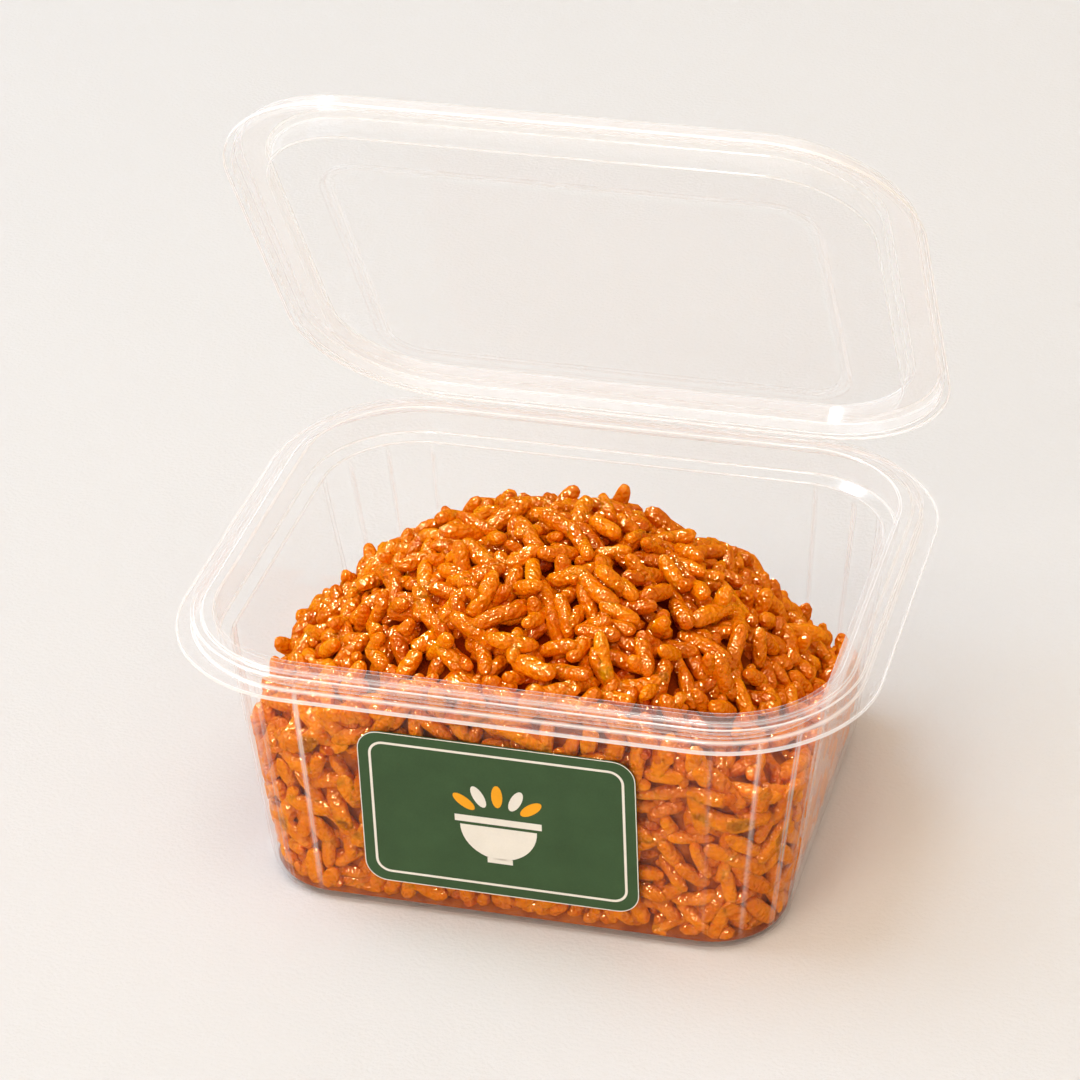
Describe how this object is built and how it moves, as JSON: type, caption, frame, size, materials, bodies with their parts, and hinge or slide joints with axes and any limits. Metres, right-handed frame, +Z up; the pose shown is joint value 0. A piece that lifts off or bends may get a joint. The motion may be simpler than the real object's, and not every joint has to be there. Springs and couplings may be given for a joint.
{
  "type": "jollof rice in a hinged clear deli tub",
  "caption": "Clear hinged rectangular deli tub with its lid standing open, filled and heaped with glossy orange jollof rice.",
  "frame": {"origin": "centre of the tub's foot, on the surface it stands on", "axes": "+Z up, -Y towards the labelled front wall, X along the lid's hinge"},
  "size_m": [0.138, 0.1163, 0.1517],
  "materials": {
    "tub_film": "clear thermoformed PET sheet",
    "lid_film": "clear thermoformed PET sheet",
    "rice": "oily cooked rice in tomato",
    "label_paper": "printed paper label, semi matt"
  },
  "bodies": {
    "tub": {"tub": "tub_film", "rice": "rice", "label": "label_paper"},
    "lid": {"lid": "lid_film"}
  },
  "joints": [
    {"name": "lid_hinge", "type": "hinge", "parent": "tub", "child": "lid", "pos_m": [0, 0.0574, 0.0546], "axis": [-1, 0, 0], "range_deg": [-41, 122]}
  ]
}
